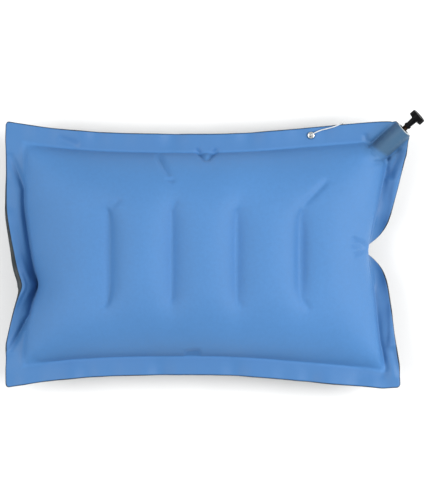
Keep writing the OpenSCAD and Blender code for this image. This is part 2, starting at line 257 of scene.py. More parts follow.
def left_fold(y):
    """The fold's depth along the left edge, running out softly at both ends."""
    return tent(y, LEFT_FOLD["y"], LEFT_FOLD["above"], LEFT_FOLD["below"]) ** LEFT_FOLD["power"]


def long_edge(t):
    """Rim of the long edges: they bow in at the middle."""
    r = np.abs(t)
    share = np.where(t < 0, r**3, r * r * (3 - 2 * r))
    return np.stack([t * HALF_W, HALF_D - EDGE_BOW * (1 - share), SEAM_Z + 0 * t], 1)


def right_edge(t):
    """Rim of the right edge: it leans in to a notch, where it tucks down."""
    y = t * HALF_D
    lean = tent(y, RIGHT_LEAN["y"], RIGHT_LEAN["above"], RIGHT_LEAN["below"])
    d = y - RIGHT_LEAN["y"]
    x = HALF_W + RIGHT_LEAN["flare"] - RIGHT_LEAN["depth"] * lean
    x -= RIGHT_NOTCH["depth"] * bump_shape(d, RIGHT_NOTCH["width"])
    z = SEAM_Z - RIGHT_NOTCH["tuck"] * bump_shape(d, RIGHT_NOTCH["tuck_width"])
    z += RIM_LIFT["right"] * (1 - t**4)
    return np.stack([x, y, z], 1)


def left_edge(t):
    y = t * HALF_D
    z = SEAM_Z + RIM_LIFT["left"] * (1 - t**4)
    return np.stack([LEFT_FOLD["depth"] * left_fold(y) - HALF_W, y, z], 1)


def even_points(edge, n):
    """n points of an edge, evenly spaced along it."""
    s = np.concatenate([[0], np.cumsum(np.linalg.norm(np.diff(edge, axis=0), axis=1))])
    want = np.linspace(0, s[-1], n)
    return np.stack([np.interp(want, s, edge[:, k]) for k in range(3)], 1)


def coons_patch(south, north, west, east):
    """The patch that four edges bound; the long edges are drawn to meet the side ones."""
    u = np.linspace(0, 1, len(south))[:, None, None]
    v = np.linspace(0, 1, len(west))[None, :, None]
    south, north = (
        edge + (1 - u[:, 0]) * (west[end] - edge[0]) + u[:, 0] * (east[end] - edge[-1])
        for edge, end in ((south, 0), (north, -1))
    )
    return (
        (1 - v) * south[:, None] + v * north[:, None]
        + (1 - u) * west[None] + u * east[None]
        - (1 - u) * (1 - v) * south[0] - u * (1 - v) * south[-1]
        - (1 - u) * v * north[0] - u * v * north[-1]
    )


def from_valve(points):
    """Distance along the valve's axis past its mouth, and the vector from the axis."""
    away = points - MOUTH
    along = away @ VALVE_AXIS
    return along, away - along[..., None] * VALVE_AXIS


def lift_at_valve(points):
    """Raises the valve's corner, which turns up from a line across it."""
    level = VALVE_AXIS[:2] / np.linalg.norm(VALVE_AXIS[:2])
    tilt = math.asin(VALVE_AXIS[2])
    past = np.maximum(0, FOLD_LEN * math.cos(tilt) + (points[..., :2] - MOUTH[:2]) @ level)
    points[..., 2] += past * math.tan(tilt)
    return points


def off_sleeve(panels):
    """Pushes the cloth of the valve's corner off the sleeve, in place."""
    columns, rows = (math.ceil(n * share) for n, share in zip(panels.shape[1:3], CORNER_SHARE))
    corner = panels[:, -columns:, -rows:]
    along, aside = from_valve(corner)
    beside = np.linalg.norm(aside, axis=-1)
    clear = SLEEVE_R + FABRIC
    inside = (beside < clear) & (along > -SLEEVE_LEN - SLEEVE_MARGIN)
    corner += aside * ((clear / np.maximum(beside, 1e-5) - 1) * inside)[..., None]
    return panels


# ---- Cloth simulation: both panels at once, [panel, column, row, xyz] ----------

class Inflation:
    """Position-based cloth: threads hold their length, air pushes, the rim is led to its place."""

    THREAD_SQUEEZE = 0.3   # share of a thread's shortening undone in a pass
    SHEAR = 0.15
    BEND = 0.25
    RIM_STIFF = 0.5        # how well the welded rim stays flat across its width
    WELD_EVEN = 0.3        # how well its height evens out along each edge
    PUSH = 0.00017         # speed that the air gives in a coarse step
    WEIGHT = 0.000001      # speed that the cloth's weight gives
    DAMPING = 0.96
    LEAD = 0.2             # share of the way to its target that a led point goes in a pass
    EDGE_LEAD = (1, 1, 0.6)
    EYELET_FLAT = 0.009    # the rim is held flat this far round the eyelet
    PARTED = (0.008, 0.003)       # no weld this far past the sleeve's inner end, and beside it
    NEAR_SLEEVE = (0.014, 0.009)  # no ironing this far past it and beside it
    START_POWERS = (2.2, 0.6)     # how the starting shape bulges
    START_HEIGHT = 0.98
    START_GAP = 0.002             # between the sleeve and the starting shape

    def __init__(self, finer=1, start=None):
        self.finer = finer
        self.nx, self.ny = CELLS * finer
        self.cell = FLAT_HALF / (CELLS * finer)
        self.seam = round(SEAM / self.cell[0]), round(SEAM / self.cell[1])
        self.i, self.j = np.meshgrid(
            np.arange(-self.nx, self.nx + 1), np.arange(-self.ny, self.ny + 1), indexing="ij"
        )
        t = np.linspace(-1, 1, EDGE_POINTS)
        north = long_edge(t)
        self.target = lift_at_valve(coons_patch(
            even_points(north * [1, -1, 1], 2 * self.nx + 1),
            even_points(north, 2 * self.nx + 1),
            even_points(left_edge(t), 2 * self.ny + 1),
            even_points(right_edge(t), 2 * self.ny + 1),
        ))
        along, aside = from_valve(self.target)
        beside = np.linalg.norm(aside, axis=-1)
        self.parted, self.near_sleeve = (
            (along > -SLEEVE_LEN - past) & (beside < SLEEVE_R + wider)
            for past, wider in (self.PARTED, self.NEAR_SLEEVE)
        )
        self.rim = (np.abs(self.i) >= self.nx - self.seam[0]) | (
            np.abs(self.j) >= self.ny - self.seam[1]) | (along > -CORNER_WELD)
        self.welded = self.rim & ~self.parted
        self.p = self.swollen(beside) if start is None else start
        self.set_threads()
        self.set_leads()

    def swollen(self, beside):
        """A rough pillow shape to start from, already open round the sleeve."""
        inner, outer = self.START_POWERS
        swell = [
            np.clip(1 - (np.abs(k) / (n - seam)) ** inner, 0, 1) ** outer
            for k, n, seam in ((self.i, self.nx, self.seam[0]), (self.j, self.ny, self.seam[1]))
        ]
        p = np.stack([self.target, self.target])
        side = np.array([1, -1])[:, None, None]
        p[..., 2] += side * self.START_HEIGHT * SEAM_Z * swell[0] * swell[1]
        clear = (SLEEVE_R + self.START_GAP) ** 2
        gap = np.sqrt(np.clip(clear - beside**2, 0, None)) * self.parted
        over = side * (p[..., 2] - self.target[..., 2]) < gap
        p[..., 2] = np.where(over, self.target[..., 2] + side * gap, p[..., 2])
        return p

    def refined(self):
        """The points of a grid with twice as many cells."""
        p = self.p
        for axis in (1, 2):
            p = np.moveaxis(p, axis, 0)
            padded = np.concatenate([2 * p[:1] - p[1:2], p, 2 * p[-1:] - p[-2:-1]])
            between = (9 * (p[:-1] + p[1:]) - padded[:-3] - padded[3:]) / 16
            finer = np.empty((2 * len(p) - 1, *p.shape[1:]))
            finer[::2], finer[1::2] = p, between
            p = np.moveaxis(finer, 0, axis)
        return np.ascontiguousarray(p)

    def set_threads(self):
        """Pairs of neighbouring points, with their distance in the flat cut."""
        p, squeeze = self.p, self.THREAD_SQUEEZE
        (cx, cy), (sx, sy) = self.cell, self.seam
        shrunk_x = cx * (1 - WELD_SHRINK[0] * (np.abs(self.j) >= self.ny - sy))
        shrunk_y = cy * (1 - WELD_SHRINK[1] * (np.abs(self.i) >= self.nx - sx))
        slant = math.hypot(cx, cy)
        self.threads = []
        for s in (0, 1):
            self.threads += [
                (p[:, s:-1:2], p[:, s + 1::2], shrunk_x[s:-1:2], 1, squeeze),
                (p[:, :, s:-1:2], p[:, :, s + 1::2], shrunk_y[:, s:-1:2], 1, squeeze),
                (p[:, s:-1:2, :-1], p[:, s + 1::2, 1:], slant, self.SHEAR, self.SHEAR),
                (p[:, s:-1:2, 1:], p[:, s + 1::2, :-1], slant, self.SHEAR, self.SHEAR),
            ]
        for s in range(4):
            self.threads += [
                (p[:, s:-2:4], p[:, s + 2::4], 2 * cx, 0, self.BEND),
                (p[:, :, s:-2:4], p[:, :, s + 2::4], 2 * cy, 0, self.BEND),
            ]
        for outer, inner, width in (
            (p[:, 0], p[:, sx], sx * cx), (p[:, -1], p[:, -1 - sx], sx * cx),
            (p[:, :, 0], p[:, :, sy], sy * cy), (p[:, :, -1], p[:, :, -1 - sy], sy * cy),
        ):
            self.threads.append((outer, inner, width, 0, self.RIM_STIFF))
        self.ties = self.tie_cells()
        for column, rows in self.ties:
            self.threads.append((p[0, column, rows], p[1, column, rows], TIE_LENGTH, 1, 0))

    def tie_cells(self):
        half = round(TIE_HALF / self.cell[1])
        rows = slice(self.ny - half, self.ny + half + 1)
        return [(self.nx + round(x / self.cell[0]), rows) for x in TIE_FLAT]

    def set_leads(self):
        """How strongly each point is led to its target along X, Y and Z."""
        self.lead = np.zeros(self.target.shape)
        edge = (np.abs(self.i) == self.nx) | (np.abs(self.j) == self.ny)
        self.lead[edge] = self.EDGE_LEAD
        for (column, rows), x in zip(self.ties, TIE_PLACES):
            self.target[column, rows, 0] = x
            self.lead[column, rows, 0] = 1
        weld = self.seam[0]
        y = self.target[weld, :, 1]
        share = tent(y, LEFT_FOLD["y"], LEFT_SEAM["above"], LEFT_SEAM["below"])
        point = bump_shape(y - LEFT_FOLD["y"], LEFT_SEAM["width"])
        self.target[weld, :, 0] = (
            LEFT_SEAM["x"] + LEFT_SEAM["lean"] * share + LEFT_SEAM["point"] * point)
        self.target[weld, :, 2] = SEAM_Z - LEFT_SEAM["dip"] * (share + point) / 2
        self.lead[weld] = share[:, None] * (1, 0, 1)
        weld = -1 - self.seam[0]
        y = self.target[weld, :, 1]
        low, high = RIGHT_SEAM["y"]
        share = np.clip(np.minimum(y - low, high - y) / RIGHT_SEAM["fade"], 0, 1)
        tucked = RIGHT_SEAM["tuck"] * bump_shape(y - RIGHT_LEAN["y"], RIGHT_SEAM["tucked"])
        pointed = np.clip((SOUTH_EAST["y"] - y) / SOUTH_EAST["over"], 0, 1)
        reach = RIGHT_SEAM["reach"] * (1 - tucked) - SOUTH_EAST["reach"] * pointed
        self.target[weld, :, 0] = self.target[-1, :, 0] - reach
        self.target[weld, :, 2] = SEAM_Z - RIGHT_SEAM["dip"]
        self.lead[weld] = share[:, None] * (1, 0, 1)
        near = np.linalg.norm(self.target[..., :2] - EYELET, axis=-1) < self.EYELET_FLAT
        self.lead[near, 2] = 1
        self.lead *= self.LEAD

    @staticmethod
    def relax(a, b, rest, stretch, squeeze):
        """Moves pairs of points towards their rest distance, in place."""
        gap = b - a
        length = np.sqrt(np.einsum("...k,...k", gap, gap)) + 1e-12
        excess = 1 - rest / length
        gap *= (np.where(excess > 0, stretch, squeeze) * excess / 2)[..., None]
        a += gap
        b -= gap

    def air(self):
        """Outward normal times area of each point inside the weld."""
        across = self.p[:, 2:, 1:-1] - self.p[:, :-2, 1:-1]
        up = self.p[:, 1:-1, 2:] - self.p[:, 1:-1, :-2]
        push = np.zeros_like(self.p)
        push[:, 1:-1, 1:-1] = np.cross(across, up) / (4 * self.cell[0] * self.cell[1])
        push[1] *= -1
        push[:, self.rim] = 0
        return push

    def stiffen_weld(self):
        """Evens out the weld's height along each edge, because two welded layers are stiff."""
        for axis, cells in ((1, self.seam[1]), (0, self.seam[0])):
            height = np.moveaxis(self.p[0, ..., 2], axis, 1)
            loose = np.moveaxis(~self.welded, axis, 1)
            for band, free in ((height[:, :cells + 1], loose[:, :cells + 1]),
                               (height[:, -cells - 1:], loose[:, -cells - 1:])):
                even = (band[:-2] + band[2:]) / 2 - band[1:-1]
                even[free[1:-1] | free[:-2] | free[2:]] = 0
                band[1:-1] += self.WELD_EVEN * even
        self.p[1, self.welded] = self.p[0, self.welded]

    def run(self, steps, passes=6):
        speed = np.zeros_like(self.p)
        for _ in range(steps):
            speed += self.air() * (self.PUSH / self.finer**3)
            speed[..., 2] -= self.WEIGHT / self.finer
            speed *= self.DAMPING
            before = self.p.copy()
            self.p += speed
            for _ in range(passes):
                for pair in self.threads:
                    self.relax(*pair)
                self.p[:, self.welded] = self.p[:, self.welded].mean(axis=0)
                self.p += self.lead * (self.target - self.p)
                self.stiffen_weld()
                off_sleeve(self.p)
                np.maximum(self.p[..., 2], FABRIC / 2, out=self.p[..., 2])
            speed = self.p - before
        return self


COARSE_STEPS, FINE_STEPS = ((260, 60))
coarse = Inflation().run(COARSE_STEPS)
inflation = Inflation(finer=2, start=coarse.refined()).run(FINE_STEPS)


# ---- Creases, valleys and the rim's layers ---------------------------------

# Start and end of each crease in the upper panel, its depth and its half width. The last four
# lie along the ties.
CREASES = (
    ((0.113, 0.056), (0.146, 0.090), 0.0028, 0.0040),
    ((-0.058, 0.120), (-0.042, 0.092), 0.0034, 0.0032),
    ((-0.047, 0.090), (-0.037, 0.086), 0.0022, 0.0028),
    ((-0.013, 0.127), (0.001, 0.111), 0.0034, 0.0028),
    ((0.001, 0.111), (0.014, 0.127), 0.0032, 0.0028),
    ((-0.026, -0.118), (-0.006, -0.116), 0.0026, 0.0036),
    ((-0.178, 0.140), (-0.152, 0.130), 0.0022, 0.0050),
    ((0.2208, 0.1543), (0.1933, 0.1296), 0.0028, 0.0022),
    ((0.2380, 0.1330), (0.2120, 0.1091), 0.0028, 0.0022),
    ((0.172, 0.020), (0.194, 0.010), 0.0030, 0.0024),
    ((0.170, 0.009), (0.194, 0.009), 0.0024, 0.0018),
    ((0.174, -0.002), (0.194, 0.007), 0.0028, 0.0024),
    ((0.233, 0.128), (0.220, 0.090), 0.0060, 0.0060),
    ((0.224, -0.110), (0.235, -0.150), 0.0050, 0.0055),
    ((-0.112, 0.055), (-0.101, 0.066), 0.0016, 0.0035),
    ((-0.040, 0.055), (-0.033, 0.064), 0.0014, 0.0030),
    ((0.036, -0.054), (0.044, -0.063), 0.0012, 0.0030),
    ((-0.113, -0.054), (-0.122, -0.062), 0.0014, 0.0032),
    ((0.112, -0.053), (0.124, -0.066), 0.0020, 0.0040),
    ((0.190, 0.146), (0.196, 0.126), 0.0028, 0.0030),
    ((0.199, 0.138), (0.201, 0.124), 0.0020, 0.0026),
    ((0.1118, 0.053), (0.1118, -0.053), 0.0028, 0.0074),
    ((0.0362, 0.051), (0.0362, -0.051), 0.0012, 0.0070),
    ((-0.0400, 0.050), (-0.0400, -0.050), 0.0006, 0.0070),
    ((-0.1126, 0.050), (-0.1126, -0.050), 0.0006, 0.0070),
)
# The left valley follows the weld between the two turns, and runs out over the rim past them
VALLEY = {"depth": 0.012, "width": 0.0044, "above": 0.156, "below": 0.078, "tip": 0.003,
          "turns": (-0.072, 0.078), "run_out": 0.040, "out": 0.0145, "furthest": 1.2}
UNDER_VALLEY = 0.013                     # how far in the lower panel goes down with a valley
RIGHT_VALLEY = {"depth": 0.0045, "width": 0.0044, "out": 0.0006,
                "y": (-0.142, 0.118), "fade": 0.016, "tucked": 0.060}
THROUGH_CELLS = 8                        # a crease goes through both panels this near the weld
RIPPLES = ((0.083, 1.3, 0.0020), (0.047, 4.0, 0.0012), (0.031, 0.4, 0.0007))  # length, start, size
SIDE_START = 0.3                         # sets the side edges' ripples off from the long ones'
CALM = {"from": 0.050, "over": 0.045}    # the ripples die out towards the valve's mouth
# How far the lower layer shows past the upper one at the left, and the width it has all round
PEEK = {"depth": 0.0055, "y": -0.038, "above": 0.175, "below": 0.018, "power": 1.6}
UNDER_EDGE = 0.0004
PLY_GAP = FABRIC * 0.55                  # how far each layer of the rim lies from the weld
IRON_PASSES = 16
IRON_SHARE = 0.5
IRON_REACH = 0.036                       # how far in from the weld the small pleats are ironed out


def edge_lines(panels):
    """The panels' grid lines counted inwards from each of the four edges, with the weld's cells."""
    for axis, seam, cell in ((-3, inflation.seam[0], inflation.cell[0]),
                             (-2, inflation.seam[1], inflation.cell[1])):
        lines = np.moveaxis(panels, axis, 0)
        yield lines, seam, cell
        yield lines[::-1], seam, cell


def ironed(panels):
    """Irons out the small pleats beside the weld along each edge, and in the rim of the long ones."""
    free = ~inflation.near_sleeve[None, :, :, None] * np.ones((2, 1, 1, 1))
    edges = zip(edge_lines(panels), edge_lines(free), (False, False, True, True))
    for (lines, seam, cell), (loose, _, _), with_rim in edges:
        reach = round(IRON_REACH / cell)
        for k in range(-seam if with_rim else 1, reach):
            share = IRON_SHARE * min(1, 1 - k / reach) * loose[seam + k][:, 1:-1]
            line = lines[seam + k]
            for _ in range(IRON_PASSES):
                line[:, 1:-1] += share * ((line[:, :-2] + line[:, 2:]) / 2 - line[:, 1:-1])
    return panels


def valley(from_weld, out, width):
    """A valley's profile across the weld, in each panel: the lower one is wider on the inside."""
    upper = np.exp(-(((from_weld - out) / width) ** 2))
    under = np.exp(-((out / width) ** 2) - (from_weld / UNDER_VALLEY) ** 2)
    return np.stack([upper, np.where(from_weld < 0, np.maximum(upper, under), upper)])


def pressed(panels):
    """Presses the creases in, near the weld through both panels, and the two side valleys."""
    upper = panels[0]
    xy = upper[..., :2]
    press = np.zeros(xy.shape[:2])
    for start, end, depth, width in CREASES:
        way = np.array(end) - start
        along = np.clip((xy - start) @ way / (way @ way), 0, 1)
        away = np.linalg.norm(xy - start - along[..., None] * way, axis=-1)
        press += depth * (1 - (2 * along - 1) ** 4) * np.exp(-((away / width) ** 2))
    normals = unit(np.cross(np.gradient(upper, axis=0), np.gradient(upper, axis=1)))
    shift = -normals * press[..., None]
    shift[inflation.rim] = press[inflation.rim, None] * (0, 0, -1)
    past_weld = np.minimum(inflation.nx - inflation.seam[0] - np.abs(inflation.i),
                           inflation.ny - inflation.seam[1] - np.abs(inflation.j))
    panels[0] += shift
    through = np.clip(1 - past_weld / THROUGH_CELLS, 0, 1)
    panels[1] += shift * np.maximum(through, inflation.rim)[..., None]
    from_weld = (np.abs(inflation.i) - inflation.nx + inflation.seam[0]) * inflation.cell[0]
    y = xy[..., 1]
    low, high = VALLEY["turns"]
    past_turns = np.maximum(y - high, low - y) / VALLEY["run_out"]
    drift = VALLEY["out"] * np.clip(past_turns, 0, VALLEY["furthest"])
    share = tent(y, LEFT_FOLD["y"], VALLEY["above"], VALLEY["below"], VALLEY["tip"])
    groove = valley(from_weld, drift, VALLEY["width"])
    panels[..., 2] -= VALLEY["depth"] * groove * np.sqrt(share) * (inflation.i < 0)
    low, high = RIGHT_VALLEY["y"]
    share = np.clip(np.minimum(y - low, high - y) / RIGHT_VALLEY["fade"], 0, 1)
    share *= 1 - bump_shape(y - RIGHT_LEAN["y"], RIGHT_VALLEY["tucked"])
    groove = valley(from_weld, RIGHT_VALLEY["out"], RIGHT_VALLEY["width"])
    panels[..., 2] -= RIGHT_VALLEY["depth"] * groove * share * (inflation.i > 0)
    return off_sleeve(panels)


def rippled(panels):
    """The welded rim isn't quite flat: it undulates towards its edge."""
    x, y = inflation.i * inflation.cell[0], inflation.j * inflation.cell[1]
    from_mouth = np.linalg.norm(inflation.p[0, ..., :2] - MOUTH[:2], axis=-1)
    calmed = np.clip((from_mouth - CALM["from"]) / CALM["over"], 0, 1)
    for from_weld, along in (
        (np.abs(x) - FLAT_HALF[0] + SEAM, y * np.sign(x) + SIDE_START),
        (np.abs(y) - FLAT_HALF[1] + SEAM, x * np.sign(y)),
    ):
        share = np.clip(from_weld / SEAM, 0, 1) * calmed
        wave = sum(size * np.sin(2 * np.pi * along / length + start)
                   for length, start, size in RIPPLES)
        panels[..., 2] += wave * share
    return panels


def peek(y):
    """How far the lower layer of the left rim shows past the upper one."""
    d = y - PEEK["y"]
    arm = np.where(d > 0, PEEK["above"], PEEK["below"])
    return PEEK["depth"] * np.clip(1 - np.abs(d) / arm, 0, 1) ** PEEK["power"]


def slipped_out(points):
    """The lower layer is a little wider, and slips out past the upper one, most at the left."""
    for side, (lines, seam, cell) in enumerate(edge_lines(points)):
        was = lines.copy()
        more = np.full(was.shape[1], UNDER_EDGE)
        if side == 0:
            more += peek(was[0, :, 1])
        outward = unit(was[0] - was[3])
        for k in range(seam // 2):
            moved = more * (1 - 2 * k / seam)
            inner = k - np.minimum(moved / cell, k)
            first = inner.astype(int)
            share = (inner - first)[:, None]
            column = np.arange(was.shape[1])
            lines[k] = was[first, column] * (1 - share) + was[first + 1, column] * share
            lines[k] += outward * np.maximum(moved - k * cell, 0)[:, None]
    return points


def laid_apart(panels):
    """The welded rim's two layers, side by side instead of one in the other."""
    from_rim = np.minimum(inflation.nx - np.abs(inflation.i), inflation.ny - np.abs(inflation.j))
    welded = inflation.rim | (from_rim <= inflation.seam[0] + 1)
    ply = PLY_GAP * (welded & ~inflation.parted)
    for points, side in zip(panels, (1, -1)):
        normals = unit(np.cross(np.gradient(points, axis=0), np.gradient(points, axis=1)))
        points += normals * (side * ply)[..., None]
    slipped_out(panels[1])
    return panels


# ---- Panel meshes ---------------------------------------------------------

CORNER_R = 0.0055
CORNER_REACH = 1.6                       # the points it draws in lie within this many radii
EYELET_HOLE_R = 0.0035
HOLE_CLEARED = 0.8                       # share of the hole's radius that is cleared of points
MOUTH_REACH = 0.06                       # the cut at the mouth takes in the points this near it


def round_corners(points):
    """Rounds the four corners of the rim, as a square is drawn in to a disc."""
    for x_side, column in ((-1, 0), (1, -1)):
        for y_side, row in ((-1, 0), (1, -1)):
            corner = points[column, row, :2] - CORNER_R * np.array([x_side, y_side])
            a, b = np.moveaxis((points[..., :2] - corner) * [x_side, y_side], -1, 0) / CORNER_R
            near = (a > 0) & (b > 0) & (a < CORNER_REACH) & (b < CORNER_REACH)
            a, b = np.where(near, (a, b), 0.0)
            drawn_in = 1 - np.sqrt(1 - np.minimum(1, (b, a)) ** 2 / 2)
            points[..., 0] -= x_side * CORNER_R * a * drawn_in[0]
            points[..., 1] -= y_side * CORNER_R * b * drawn_in[1]
    return points


def panel_mesh(name, points, side):
    """One panel as a single sheet with flat-cloth coordinates in metres."""
    columns, rows = points.shape[:2]
    index = np.arange(columns * rows).reshape(columns, rows)
    quads = np.stack([index[:-1, :-1], index[1:, :-1], index[1:, 1:], index[:-1, 1:]], -1)
    if side < 0:
        quads = quads[..., ::-1]
    mesh = bpy.data.meshes.new(name)
    mesh.from_pydata(points.reshape(-1, 3).tolist(), [], quads.reshape(-1, 4).tolist())
    flat = np.stack([inflation.i, inflation.j], -1).reshape(-1, 2) * inflation.cell
    corners = np.empty(len(mesh.loops), int)
    mesh.loops.foreach_get("vertex_index", corners)
    mesh.uv_layers.new(name="cloth").uv.foreach_set("vector", flat[corners].ravel())
    return mesh


def punch_eyelet(bm, points):
    """Opens the cells inside the eyelet and rounds the hole."""
    away = np.linalg.norm(points.reshape(-1, 3)[:, :2] - EYELET, axis=1)
    bm.verts.ensure_lookup_table()
    inside = [bm.verts[k] for k in np.flatnonzero(away < EYELET_HOLE_R * HOLE_CLEARED)]
    ring = {v for inner in inside for face in inner.link_faces for v in face.verts}
    ring -= set(inside)
    bmesh.ops.delete(bm, geom=inside, context="VERTS")
    for v in ring:
        out = Vector((v.co.x - EYELET[0], v.co.y - EYELET[1]))
        v.co.xy = Vector(EYELET) + out.normalized() * EYELET_HOLE_R


def cut_at_mouth(bm):
    """Takes off the corner that the valve's mouth comes out of."""
    mouth, axis = Vector(MOUTH), Vector(VALVE_AXIS)
    verts = {v for v in bm.verts if (v.co - mouth).length < MOUTH_REACH}
    faces = {f for v in verts for f in v.link_faces}
    near = {*verts, *faces, *(v for f in faces for v in f.verts),
            *(e for f in faces for e in f.edges)}
    bmesh.ops.bisect_plane(
        bm, geom=list(near), plane_co=mouth, plane_no=axis, clear_outer=True
    )


def shell_piece(name, mesh, bm, thickness):
    """A piece of the sheet in bm, given its thickness as a closed shell."""
    bm.to_mesh(mesh)
    bm.free()
    piece = new_object(name, mesh)
    shell = piece.modifiers.new("shell", "SOLIDIFY")
    shell.thickness, shell.offset = thickness, 0
    depsgraph = bpy.context.evaluated_depsgraph_get()
    done = bpy.data.meshes.new_from_object(piece.evaluated_get(depsgraph), depsgraph=depsgraph)
    piece.modifiers.clear()
    piece.data = smooth(done)
    return piece


def panel(name, points, side):
    """One panel of the pillow as a closed shell of fabric."""
    points = round_corners(points)
    mesh = panel_mesh(name, points, side)
    bm = bmesh.new()
    bm.from_mesh(mesh)
    punch_eyelet(bm, points)
    cut_at_mouth(bm)
    return shell_piece(name, mesh, bm, FABRIC)


panels = laid_apart(rippled(pressed(ironed(inflation.p.copy()))))
for name, side, points, node, slot in (
    ("upper_panel", 1, panels[0], "top_panel", "blue_fabric"),
    ("lower_panel", -1, panels[1], "bottom_panel", "grey_fabric"),
):
    piece = panel(name, points, side)
    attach(piece, "pillow")
    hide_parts(node)


# ---- Film ties: a web between the panels with a weld foot along each ------------

FILM = 0.0006                            # thickness
FOOT = 0.008                             # half of a weld foot's width
STAND_OFF = 0.55                         # keeps a foot just clear of its panel
WEB_STEPS = 20
WEB_RIPPLE = 0.0012                      # depth of the web's waves, and how many there are
WEB_WAVES = 1.5


def grid_faces(bm, grid):
    """Faces of a grid of points [row, column, xyz]."""
    verts = [[bm.verts.new(point) for point in row] for row in grid]
    for row, after in zip(verts, verts[1:]):
        for a, b, c, d in zip(row, row[1:], after[1:], after):
            bm.faces.new((a, b, c, d))


def film_tie(name, column, rows):
    """One tie as three closed strips of film that meet edge to face."""
    reach = round(FOOT / inflation.cell[0])
    bm = bmesh.new()
    ends = []
    for points, side in zip(panels, (1, -1)):
        normals = unit(np.cross(np.gradient(points, axis=0), np.gradient(points, axis=1)))
        inward = -side * normals
        near = slice(column - reach, column + reach + 1)
        foot = points + inward * (FABRIC + FILM) * STAND_OFF
        grid_faces(bm, foot[near, rows])
        ends.append((foot + inward * FILM / 2)[column, rows])
    share = np.linspace(0, 1, WEB_STEPS + 1)[:, None, None]
    web = ends[0] * (1 - share) + ends[1] * share
    wave = np.sin(np.linspace(0, 2 * WEB_WAVES * np.pi, web.shape[1]) + column)
    web[..., 0] += WEB_RIPPLE * np.sin(np.pi * share[..., 0]) * wave
    grid_faces(bm, web)
    return shell_piece(name, bpy.data.meshes.new(name), bm, FILM)


film_ties = []
for n, (column, rows) in enumerate(inflation.ties, 1):
    piece = film_tie(f"film_tie_{n}", column, rows)
    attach(piece, "pillow")
    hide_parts(f"baffle_{n}")
    film_ties.append(piece)


# ---- Materials --------------------------------------------------------------

class Finish:
    """A procedural material: a Principled shader and the nodes that feed it."""

    def __init__(self, name, **sockets):
        self.material = bpy.data.materials.new(name)
        self.material.use_nodes = True
        self.tree = self.material.node_tree
        self.shader = self.tree.nodes["Principled BSDF"]
        for socket, value in sockets.items():
            self.put(self.shader.inputs[socket.replace("_", " ")], value)

    def put(self, socket, value):
        if isinstance(value, bpy.types.NodeSocket):
            self.tree.links.new(value, socket)
        else:
            socket.default_value = value

    def node(self, kind, inputs=(), output=0, **settings):
        made = self.tree.nodes.new("ShaderNode" + kind)
        for key, value in settings.items():
            setattr(made, key, value)
        pairs = inputs.items() if isinstance(inputs, dict) else enumerate(inputs)
        for key, value in pairs:
            if value is not None:
                self.put(made.inputs[key], value)
        return made.outputs[output]

    def calc(self, operation, *values, clamp=False):
        return self.node("Math", values, operation=operation, use_clamp=clamp)

    def place(self):
        return self.node("TexCoord", output="Object")

    def split(self, vector):
        return self.node("SeparateXYZ", [vector]).node.outputs

    def from_mouth(self):
        return self.node("VectorMath", [self.place(), tuple(MOUTH)], operation="SUBTRACT")

    def dot(self, vector, way):
        return self.node("VectorMath", [vector, tuple(way)], output="Value",
                         operation="DOT_PRODUCT")

    def cloth(self):
        """Flat-cloth coordinates in metres, as separate sockets."""
        u, v, _ = self.split(self.node("UVMap", uv_map="cloth"))
        return u, v

    def round_valve(self):
        """Coordinates in metres along the valve and round its sleeve."""
        level = VALVE_AXIS[:2] / np.linalg.norm(VALVE_AXIS[:2])
        side = np.array([-level[1], level[0], 0])
        away = self.from_mouth()
        along, left, up = (
            self.dot(away, way) for way in (VALVE_AXIS, side, np.cross(side, VALVE_AXIS))
        )
        return along, self.calc("MULTIPLY", self.calc("ARCTAN2", left, up), SLEEVE_R)

    def noise(self, scale, detail=2.0, roughness=0.5, place=None):
        return self.node(
            "TexNoise",
            {"Vector": place or self.place(), "Scale": scale, "Detail": detail,
             "Roughness": roughness},
        )

    def remap(self, value, low, high, to_low=0.0, to_high=1.0):
        return self.node("MapRange", [value, low, high, to_low, to_high])

    def mix(self, share, a, b, blend="MIX"):
        return self.node(
            "Mix", {0: share, 6: a, 7: b}, output=2, data_type="RGBA", blend_type=blend
        )

    def bump(self, height, distance, strength=1.0, under=None):
        inputs = {"Height": height, "Distance": distance, "Strength": strength}
        if under is not None:
            inputs["Normal"] = under
        return self.node("Bump", inputs)

    def wear(self, colour):
        self.put(self.shader.inputs["Base Color"], colour)

    def rough(self, value):
        self.put(self.shader.inputs["Roughness"], value)

    def normal(self, value):
        self.put(self.shader.inputs["Normal"], value)


def rgb(r, g, b):
    return (r, g, b, 1.0)


def shaded(colour, factor):
    return rgb(*(min(1, c * factor) for c in colour[:3]))


BLUE = rgb(0.06, 0.19, 0.432)
BLUE_OVER_SLEEVE = rgb(0.04, 0.1, 0.175)
PAINTED_FOLD_SHADE_BLUE = rgb(0.022, 0.065, 0.16)
GREY = rgb(0.034, 0.041, 0.042)
CUT_EDGE = rgb(0.008, 0.013, 0.022)
THREAD_PITCH = 0.00042
# Distances from the cut edge where the weld's darker band (partly painted shade of the rim) and the
# dark edge start and are full
WELD_AND_SHADE_BAND = (SEAM + 0.001, SEAM - 0.003)
CUT_BAND = (0.0007, 0.0002)
# The cloth over the sleeve: how far in it reaches and how its end slants, then the distances past the
# sleeve's radius where its dark band and the halo round it start and are full, and the distances to
# the side of its axis where painted shade in its small fold lines starts and is full
OVER_SLEEVE = {"from": 0.032, "slant": 0.2, "band": (0.0032, 0.0014), "halo": (0.019, 0.001),
               "painted_fold_shade": (0.001, 0.010)}


